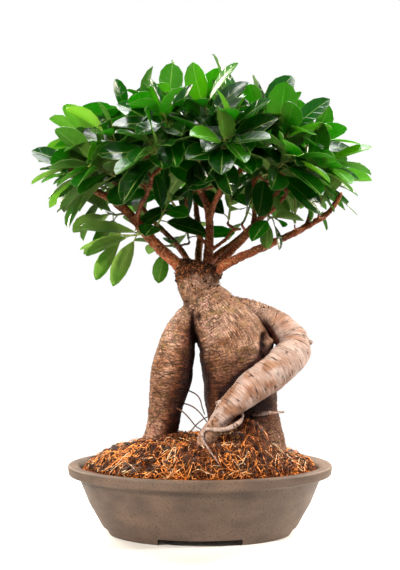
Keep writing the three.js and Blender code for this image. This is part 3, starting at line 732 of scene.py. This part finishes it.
def along_bark(points, runs):
    """For each point, the run that it is nearest to for its size, its place round and along that run, and how
    much nearer it is to that one than to the next: nothing in the fold between two."""
    best = np.full(len(points), np.inf)
    second = best
    owner = np.zeros(len(points), int)
    place = np.zeros((len(points), 3))
    for k, run in enumerate(runs):
        radii = run.radii.mean(1)
        gaps = np.linalg.norm(points[:, None, :] - run.middle[None, :, :], axis=2)
        i = (gaps / radii[None, :]).argmin(1)
        share = gaps[np.arange(len(points)), i] / radii[i]
        # Bark lines run apart where the root grows wider.
        away = points - run.middle[i]
        spread = radii.mean() / radii[i]
        own = np.stack([(away * run.first[i]).sum(1) * spread, (away * run.second[i]).sum(1) * spread,
                        run.reach[i] + (away * run.along[i]).sum(1) + ROOT_SHIFT * k], 1)
        closer = share < best
        second = np.where(closer, best, np.minimum(second, share))
        best[closer], owner[closer], place[closer] = share[closer], k, own[closer]
    return owner, place, second - best


def shelter(bm, reach, rays=24):
    """How much of the sky over each point is hidden by the piece itself within a reach, from 0 to 1."""
    tree = BVHTree.FromBMesh(bm)
    ways = []
    for k in range(rays):
        z = 1 - (2 * k + 1) / rays
        ways.append(Vector((math.cos(k * GOLDEN_ANGLE), math.sin(k * GOLDEN_ANGLE), 0)) * math.sqrt(1 - z * z)
                    + Vector((0, 0, z)))
    hidden = []
    for v in bm.verts:
        start = v.co + v.normal * 0.6
        leans = [(way, way.dot(v.normal)) for way in ways]
        open_ways = [(way, lean) for way, lean in leans if lean > 0.12]
        met = sum(lean for way, lean in open_ways if tree.ray_cast(start, way, reach)[0] is not None)
        hidden.append(met / sum(lean for _, lean in open_ways))
    for _ in range(2):
        hidden = [(hidden[v.index] + sum(hidden[e.other_vert(v).index] for e in v.link_edges))
                  / (1 + len(v.link_edges)) for v in bm.verts]
    return hidden


def bark_noise(place, across, along):
    """Noise from -1 to 1 at a place on the bark, with marks of the given sizes across and along the root."""
    return noise.noise(Vector((place[0] / across, place[1] / across, place[2] / along)))


def caudex():
    """The swollen root in one piece, with what marks its bark. Roots 0 to 3 are the body, the leg, the arm
    and the curled one, and the rest are stubs."""
    right, back = (1, 0, 0), (0, 1, 0)
    thick = [(Run(MIDDLE_ROOT, 90, right), 48, 0.008), (Run(LEG_ROOT, 70, right), 36, 0.012),
             (Run(ARM_ROOT, 90, back), 36, 0.012), (Run(CURLED_ROOT, 70, back), 12, 0)]
    thick += [(Run(stub, 16), 12, 0) for stub in STUBS]
    bm = bmesh.new()
    for run, sides, ripple in thick:
        add_tube(bm, run, sides, ripple)
    bmesh.ops.recalc_face_normals(bm, faces=bm.faces)
    bm = worked(bm, [("REMESH", {"mode": "VOXEL", "voxel_size": 1.45}),
                     ("SMOOTH", {"factor": 0.5, "iterations": 4})])
    bm.normal_update()
    bm.verts.index_update()
    points = np.array([v.co for v in bm.verts])
    owner, place, apart = along_bark(points, [run for run, _, _ in thick])
    body, leg, arm = (owner == k for k in range(3))
    height = points[:, 2]
    arm_reach = place[:, 2] - 2 * ROOT_SHIFT
    fold = np.where(owner < 4, np.exp(-(apart / 0.16) ** 2), 0) * (height < 284)
    # The arm root grows paler towards the elbow. The curled root and the stubs below the neck are as pale.
    pale = np.where(arm, np.clip((arm_reach - 25) / 60, 0, 1), (owner > 2) & (owner < 7))
    crust, scar = np.zeros((2, len(points)))
    for i, v in enumerate(bm.verts):
        collar = 0.5 * max(0, abs(v.co.x - 1) - 14)
        top = min(1, max(0, (v.co.z - RING_HEIGHT + collar + 7 * noise.noise(v.co / 9)) / 9))
        bulge = 1.3 * noise.noise(v.co / 26) + 0.8 * noise.noise(v.co / 12)
        on_root = Vector(place[i])
        rings = 0.5 * bark_noise(on_root, 13, 3.2)
        ridges = 0.4 * bark_noise(on_root, 3.5, 16)
        grain = 0.3 * bark_noise(on_root, 5, 1.9)
        crumbs = top * (2.6 * noise.noise(v.co / 3.1) + 2.4 * noise.noise(v.co / 6.5))
        pit = 2.6 * fold[i] * (0.6 + 0.8 * noise.noise(v.co / 8))
        for spot, radius, depth in HOLLOWS:
            near = math.exp(-((v.co - Vector(spot)).length / radius) ** 2)
            pit += depth * near
            scar[i] = max(scar[i], near * min(1, max(0, depth)))
        crust[i] = max(scar[i], top)
        v.co += v.normal * ((bulge + rings + ridges + grain) * (1 - 0.5 * top) + crumbs - pit)
    bm.normal_update()
    # Painted shade where the root hides the sky from a point of its own bark.
    hidden = np.array(shelter(bm, SHADE_REACH))
    # Painted shade, darker and browner: low on the body and, less, on the leg, and on the side of the leg
    # that faces the body.
    inner = np.clip(place[:, 0] / 15 + 0.25, 0, 1) * leg
    low = np.clip((228 - height) / 55, 0, 1) * (body + 0.4 * leg)
    low *= 1 - 0.6 * body * np.clip((140 - height) / 20, 0, 1)
    # The arm is stained with rust in patches past the elbow, and all over further on.
    patches = np.array([bark_noise(a, 11, 19) for a in place])
    rust = np.clip(np.clip((arm_reach - 190) / 70, 0, 1) + 2.6 * patches, 0, 1)
    rust *= arm * np.clip((arm_reach - 130) / 30, 0, 1)
    # A warm brown tint: painted shade on the body and the leg, and the rust on the arm.
    damp = np.clip(inner + low + 0.8 * rust, 0, 1)
    # Painted shade: dark where the root hides the sky, in the folds, low on the body, on the leg's inner side
    # and in the scars.
    shade = np.clip(1.7 * (hidden - 0.08) + 0.5 * fold + 0.75 * inner + 0.75 * low + scar, 0, 1)
    # The shoulder's bark is drawn out in lines; further down it is torn into plates.
    drawn = np.clip((points[:, 0] - 14) / 22, 0, 0.75) * np.clip((height - 200) / 34, 0, 1) * ~arm
    torn = np.clip((252 - height) / 26, 0, 1) * (1 - drawn)
    keep(bm, bark_place=place, pale=pale, crust=crust, shade=shade, damp=damp, drawn=drawn, torn=torn)
    kept = bm.verts.layers.float
    for root in AERIAL_ROOTS:
        for v in add_tube(bm, Run(tapered(root, (0.85, 0.6)), 18), 6, blunt=0.1):
            for name, value in (("pale", 1), ("damp", 1), ("shade", 0.4)):
                v[kept[name]] = value
    # Flakes of dead bark stand off the root by the neck's end and in the scars.
    draw = random.Random(23)
    flaking = [(v.co.copy(), v.normal.copy()) for v in bm.verts
               if (v.co.z > 286 or (v.co.z > 262 and draw.random() < 0.25) or v[kept["crust"]] > 0.6)
               and v.co.z < 317 and v.normal.length > 0.5]
    for at, normal in draw.sample(flaking, FLAKES):
        along = (normal * draw.uniform(0.3, 1) + Vector((0, 0, draw.uniform(-1, 1)))).normalized()
        side = along.cross(normal).normalized()
        long, broad = draw.uniform(1.2, 3.4), draw.uniform(0.7, 2.0)
        for v in bmesh.ops.create_icosphere(bm, subdivisions=1, radius=1)["verts"]:
            ragged = 1 + 0.4 * noise.noise(v.co * 2 + at)
            v.co = at + ragged * (along * v.co.x * long + side * v.co.y * broad
                                  + along.cross(side) * v.co.z * 0.4)
            v[kept["crust"]] = 1
    bmesh.ops.recalc_face_normals(bm, faces=bm.faces)
    set_down("root_caudex", bm, [ficus_root_bark()], ["caudex"])


# Limbs, each with its forks: the points of a fork, and its radii at the base and at the tip
LIMBS = {
    "limb_left": [
        ([(-13, -1, 302), (-26, -4, 318), (-44, -10, 334), (-62, -15, 353), (-80, -20, 374), (-97, -24, 391),
          (-118, -28, 402), (-142, -30, 416), (-156, -30, 436)], (8, 2.8)),
        ([(-94, -23, 388), (-97, -26, 408), (-94, -28, 430), (-86, -28, 450)], (4, 2.6)),
        ([(-74, -19, 368), (-88, 2, 380), (-106, 22, 392)], (3, 2)),
        ([(-76, -19, 370), (-70, -38, 384), (-60, -58, 400), (-54, -74, 418)], (3.2, 2.2))],
    "limb_centre": [
        ([(4, 1, 300), (9, 1, 321), (11, -2, 348), (11, -4, 372), (7, -8, 393), (-3, -14, 413),
          (-10, -18, 440), (-10, -14, 458)], (6.4, 2.6)),
        ([(10, -5, 384), (33, -6, 413), (50, -2, 434), (56, 4, 452)], (3.6, 2.4)),
        ([(11, -3, 368), (17, -34, 390), (26, -62, 410), (30, -78, 428)], (3.4, 2.4)),
        ([(10, 2, 332), (22, 0, 342), (32, -4, 350), (39, -6, 359), (50, -8, 361)], (2.6, 1.5)),
        ([(9, -2, 341), (-9, -12, 362), (-15, -16, 380), (-17, -18, 398)], (1.9, 1.5))],
    "limb_right_inner": [
        ([(16, 8, 303), (23, 8, 320), (36, 5, 333), (54, -2, 352), (64, -6, 363), (78, -10, 382),
          (92, -15, 405), (100, -20, 430)], (5.2, 2.6)),
        ([(63, -5, 362), (66, 4, 384), (66, 10, 412), (60, 14, 442)], (3.2, 2.3)),
        ([(72, -8, 373), (90, -22, 386), (102, -38, 402)], (3, 2.2))],
    "limb_right_outer": [
        ([(14, -9, 305), (25, -8, 315), (48, -8, 327), (84, -10, 343), (120, -14, 360), (152, -18, 380),
          (168, -20, 404)], (6.4, 2.6)),
        ([(126, -15, 363), (133, 4, 382), (136, 22, 400)], (2.8, 2))],
    "limb_back_left": [
        ([(-10, 11, 305), (-15, 18, 322), (-24, 32, 338), (-40, 52, 356), (-60, 72, 376), (-76, 84, 396)],
         (4.6, 2.4))],
    "limb_back": [
        ([(0, 14, 303), (-2, 23, 326), (0, 50, 354), (-4, 78, 384), (-6, 92, 414), (-4, 84, 444)], (5, 2.6))],
    "limb_back_right": [
        ([(10, 16, 305), (15, 23, 324), (42, 42, 346), (68, 66, 370), (92, 82, 398), (102, 84, 424)],
         (5.2, 2.6))],
}
# The crown's rings of shoots: their number, the ring's half width and half depth, its height, how much higher
# it is in front and behind, and in degrees how steeply the shoots rise and where the first one stands
RINGS = [(12, 110, 88, 410, 22, 12, 10), (11, 94, 78, 432, 14, 28, 24), (8, 62, 52, 446, 6, 46, 4),
         (4, 30, 26, 455, 0, 64, 40), (1, 0, 0, 452, 0, 88, 0)]
# Base, direction, number of leaves, their size, how far they hang and spread, how their upper faces look, and
# how broad they are
LOW_SHOOTS = [
    ((-65, -32, 355), (-0.92, 0.05, -0.3), 6, 1.08, 0.2, 0.58, (-0.3, 0.5, 0.7), 0.68),
    ((-34, 20, 342), (-0.5, 0.4, -0.1), 4, 0.6, 0.2, 1, (0, 0.3, 0.8)),
    ((-14, 34, 350), (-0.1, 0.3, 0.6), 6, 0.75, 0.3, 1, (0, -0.4, 0.8)),
    ((-94, 8, 380), (-0.4, 0.5, -0.1), 6, 0.8, 0.3, 1, (0, 0.4, 0.8)),
    ((-52, -26, 362), (0.35, -0.35, 0.5), 5, 0.75, 0.2, 1, (0.1, -0.7, 0.6)),
    ((-28, 6, 386), (-0.4, -0.2, 0.5), 6, 0.85, 0.2, 1, (0, -0.5, 0.8)),
    ((34, -12, 371), (0.1, -0.3, 0.8), 5, 0.75, 0.2, 0.9, (0, -0.5, 0.8)),
    ((80, -20, 377), (0.1, -0.5, -0.25), 5, 0.65, 0.35, 1, (0.1, 0.4, 0.7)),
    ((112, -22, 366), (0, -0.1, 1), 4, 0.65, 0, 0.55, (0, 0.9, 0.3)),
    ((140, -24, 378), (0.1, -0.2, 1), 4, 0.7, 0, 0.55, (0, 0.9, 0.3)),
    ((54, 44, 372), (0.2, 0.3, 0.4), 6, 0.8, 0.3, 1, (0, -0.3, 0.8))]


class Shoot:
    """A leafy shoot: where it stands, the way it grows, and its leaves' number, size, hang, spread, face and
    breadth."""

    def __init__(self, index, at, to, leaves, size=1, sag=None, spread=1, face=None, broad=1):
        self.index, self.at, self.to = index, Vector(at), Vector(to).normalized()
        self.leaves, self.size, self.sag, self.spread, self.face = leaves, size, sag, spread, face
        self.broad = broad
        self.low = face is not None

    def point(self, share):
        length = SHOOT_LENGTH * (0.25 + 0.75 * self.leaves / LEAVES_PER_SHOOT)
        return self.at + self.to * (0.6 + length * share) + Vector((0, 0, 7 * share * share))


def shoots():
    """The crown's shoots, ring by ring, and then the low ones. Each in a ring is a little higher or lower."""
    found = []
    for count, wide, deep, middle, lift, slope, start in RINGS:
        rise = math.radians(slope)
        for i in range(count):
            turn = i / count * 2 * math.pi + math.radians(start)
            x, y = math.cos(turn), math.sin(turn)
            height = middle + lift * y * y + 6 * math.sin(2.4 * len(found))
            found.append(Shoot(len(found), (x * wide, y * deep, height),
                               (x * math.cos(rise), y * math.cos(rise), math.sin(rise)), LEAVES_PER_SHOOT))
    return found + [Shoot(len(found) + i, *low) for i, low in enumerate(LOW_SHOOTS)]


def nearest_limb(shoot):
    """The limb, and the place and direction on it, that a shoot's twig grows from."""
    best = (math.inf,)
    for name, forks in LIMBS.items():
        for points, _ in forks:
            for i in range(5, 31):
                at = Vector(curve_points(points, [i / 30])[0])
                cost = (at - shoot.at).length
                if not shoot.low:
                    cost += 3 * max(0, at.z - (shoot.at.z - 12))
                if cost < best[0]:
                    ends = curve_points(points, [i / 30 - 1e-4, i / 30 + 1e-4])
                    best = (cost, name, at, Vector(ends[1] - ends[0]).normalized())
    return best[1:]


def limbs(grown):
    """The woody limbs, each with the twigs that carry its shoots."""
    twigs = {}
    for shoot in grown:
        name, at, along = nearest_limb(shoot)
        bend = (at + shoot.at) / 2 + along * 4 - shoot.to * 5
        twigs.setdefault(name, []).append([tuple(p) for p in (at, bend, shoot.at - shoot.to * 5, shoot.at)])
    made = ficus_limb_bark()
    for name, forks in LIMBS.items():
        runs = []
        bm = bmesh.new()
        for points, radii in forks:
            run = Run(tapered(points, radii), max(10, 9 * len(points)))
            # Leaf scars: slight swellings along the limb.
            run.radii = run.radii * (1 + 0.07 * np.sin(run.reach / 2.9)[:, None] ** 8)
            runs.append(run)
            add_tube(bm, run, 14, 0.02, blunt=0.03)
        for twig in twigs.get(name, []):
            run = Run(tapered(twig, (1.9, 1.35)), 16)
            runs.append(run)
            add_tube(bm, run, 10)
        bmesh.ops.recalc_face_normals(bm, faces=bm.faces)
        bm = worked(bm, [("REMESH", {"mode": "VOXEL", "voxel_size": 0.85}),
                         ("SMOOTH", {"factor": 0.5, "iterations": 2})])
        bm.normal_update()
        _, place, _ = along_bark(np.array([v.co for v in bm.verts]), runs)
        for v, a in zip(bm.verts, place):
            rings = 0.35 * bark_noise(a, 7, 2.0)
            v.co += v.normal * (rings + 0.6 * noise.noise(v.co / 9) + 0.5 * noise.noise(v.co / 3.2))
        keep(bm, bark_place=place)
        set_down("wood_" + name, bm, [made], [name])


# Leaves
def draws(seed):
    """A repeatable draw of numbers from 0 to 1."""
    state = (seed * 7919 + 17) % 2147483647
    while True:
        state = state * 16807 % 2147483647
        yield state / 2147483647


def leaf_places(shoot):
    """Where each leaf is rooted, the way it points, the way its upper face looks, and its size and bend."""
    numbers = draws(shoot.index + 1)
    draw = lambda: next(numbers)
    helper = Vector((1, 0, 0)) if abs(shoot.to.z) > 0.9 else Vector((0, 0, 1))
    first = helper.cross(shoot.to).normalized()
    second = shoot.to.cross(first)
    start = draw() * 2 * math.pi
    for i in range(shoot.leaves):
        share = 0.06 + 0.92 * (i / (shoot.leaves - 1)) ** 0.85
        turn = start + i * GOLDEN_ANGLE + 0.5 * (draw() - 0.5)
        lean = shoot.spread * (1.25 - 0.75 * share) + 0.3 * (draw() - 0.5)
        sizes = shoot.size * (0.78 + 0.4 * draw()) * (1 - 0.22 * share * share)
        roll = draw() - 0.5
        yaw = draw() - 0.5
        sag = shoot.sag if shoot.low else 0.12 + 0.18 * draw()
        root = shoot.point(share)
        along = (shoot.to * math.cos(lean) + first * math.cos(turn) * math.sin(lean)
                 + second * math.sin(turn) * math.sin(lean))
        along.z -= sag
        along.normalize()
        # The stalks of the leaves under a shoot turn them outwards.
        if not shoot.low:
            along.z = max(along.z, 0.25 * along.z - 0.3)
        along.normalize()
        outward = Vector(shoot.face) if shoot.low else (root - CROWN_CENTRE).normalized() * 0.6
        look = outward + Vector((roll, yaw, 0 if shoot.low else 0.7))
        look = (look - along * look.dot(along)).normalized()
        yield {"root": root, "along": along, "look": look, "length": LEAF_LENGTH * sizes,
               "wide": LEAF_WIDTH / 2 * sizes * shoot.broad, "arch": 0.09 + 0.2 * abs(roll + yaw),
               "share": share, "roll": roll, "yaw": yaw}


# Half width of the blade at shares of its length: a rounded oval that narrows to a short blunt tip
OUTLINE = [(0, 0.07), (0.12, 0.4), (0.29, 0.78), (0.52, 1.0), (0.74, 0.93), (0.92, 0.55), (1, 0.1)]


def blade_template():
    """A flat blade: x across from -1 to 1, y along from 0 to 1, z 0 above and -1 below."""
    bm = bmesh.new()
    rows = len(OUTLINE) - 1
    bmesh.ops.create_grid(bm, x_segments=4, y_segments=rows, size=1)
    for v in bm.verts:
        v.co.y = OUTLINE[round((v.co.y + 1) / 2 * rows)][0]
    top = list(bm.faces)
    under = bmesh.ops.duplicate(bm, geom=top)["geom"]
    low = [g for g in under if isinstance(g, bmesh.types.BMVert)]
    bmesh.ops.translate(bm, vec=(0, 0, -1), verts=low)
    lower_faces = [g for g in under if isinstance(g, bmesh.types.BMFace)]
    bmesh.ops.reverse_faces(bm, faces=lower_faces)
    for face in lower_faces:
        face.material_index = 1
    bmesh.ops.bridge_loops(bm, edges=[e for e in bm.edges if e.is_boundary])
    bmesh.ops.recalc_face_normals(bm, faces=bm.faces)
    bm.normal_update()
    marks = bm.loops.layers.uv.new("blade")
    for face in bm.faces:
        for loop in face.loops:
            loop[marks].uv = (loop.vert.co.x / 2 + 0.5, loop.vert.co.y)
    # The blade's rim is sharp.
    for edge in bm.edges:
        edge.smooth = len({round(face.normal.z) for face in edge.link_faces}) == 1
    return mesh_from("blade_template", bm)


def half_width(share):
    return float(np.interp(share, *zip(*OUTLINE)))


def add_blade(bm, template, leaf, tones):
    """A leaf's blade, folded a little along the midrib and bent towards its tip."""
    root, along, look, length = leaf["root"], leaf["along"], leaf["look"], leaf["length"]
    across = along.cross(look)
    fold = 0.32 + 0.34 * leaf["yaw"]
    wave = 0.06 * length * leaf["roll"]
    before = len(bm.verts)
    bm.from_mesh(template)
    bm.verts.ensure_lookup_table()
    for v in bm.verts[before:]:
        x, share, under = v.co
        half = leaf["wide"] * half_width(share)
        lift = -leaf["arch"] * length * share * share + fold * abs(x) ** 1.4 * half
        lift += wave * x * math.sin(5.2 * share + 6 * leaf["yaw"]) * abs(x)
        v.co = root + along * (PETIOLE + length * share) + across * (x * half) + look * (lift + 0.45 * under)
        v[tones] = leaf["tone"]


def add_green_tube(bm, points, radii, steps, sides):
    """A stalk, shoot or bud, in the third of a leafy shoot's materials."""
    for v in add_tube(bm, Run(tapered([tuple(p) for p in points], radii), steps), sides):
        for face in v.link_faces:
            face.material_index = 2


def add_stalk(bm, leaf):
    root, look = leaf["root"], leaf["look"]
    foot = root + leaf["along"] * (PETIOLE + 0.04 * leaf["length"])
    add_green_tube(bm, (root, root.lerp(foot, 0.5) + look * 0.5, foot - look * 0.3), (0.85, 0.6), 4, 5)


def leafy_shoots(grown):
    """Every shoot as one piece, with its leaves, their stalks and its bud."""
    made = [leaf_face(True, name="ficus_leaf_upper"), leaf_face(False, name="ficus_leaf_under"),
            green_shoot_skin()]
    template = blade_template()
    for shoot in grown:
        bm = bmesh.new()
        tones = bm.verts.layers.float.new("leaf_tone")
        numbers = draws(300 + shoot.index)
        leaves = list(leaf_places(shoot))
        for leaf in leaves:
            # Leaves near the shoot's tip, the youngest, and those further out from the crown's middle are the
            # brightest.
            # The slim leaves are lighter again, as painted light: the glow of leaves lit from behind.
            outer = (leaf["root"] - CROWN_CENTRE).length / 150
            tone = 0.6 * next(numbers) ** 2 + 0.35 * leaf["share"] ** 3 + 0.3 * outer - 0.15
            leaf["tone"] = min(1, max(0, tone + 0.7 * (1 - shoot.broad)))
            add_blade(bm, template, leaf, tones)
        for leaf in leaves:
            add_stalk(bm, leaf)
        add_green_tube(bm, [shoot.point(s) for s in (0, 0.5, 1)], (1.5, 0.9), 10, 8)
        # The bud: this year's last leaf, still rolled in its sheath.
        growing = (shoot.point(1) - shoot.point(0.9)).normalized()
        add_green_tube(bm, [shoot.point(0.98), shoot.point(1) + growing * 4.5, shoot.point(1) + growing * 9],
                       (1.1, 0.12), 6, 6)
        number = f"{shoot.index + 1:02d}"
        set_down("ficus_shoot_" + number, bm, made, ["leafy_shoot_" + number])


camera()
studio()
pot()
mesh_black = moulded_black_polyethylene()
for side in ("left", "right"):
    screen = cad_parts["drain_screen_" + side]
    screen.data.materials.clear()
    screen.data.materials.append(mesh_black)
mound()
coir()
bark_chips()
caudex()
growth = shoots()
limbs(growth)
leafy_shoots(growth)
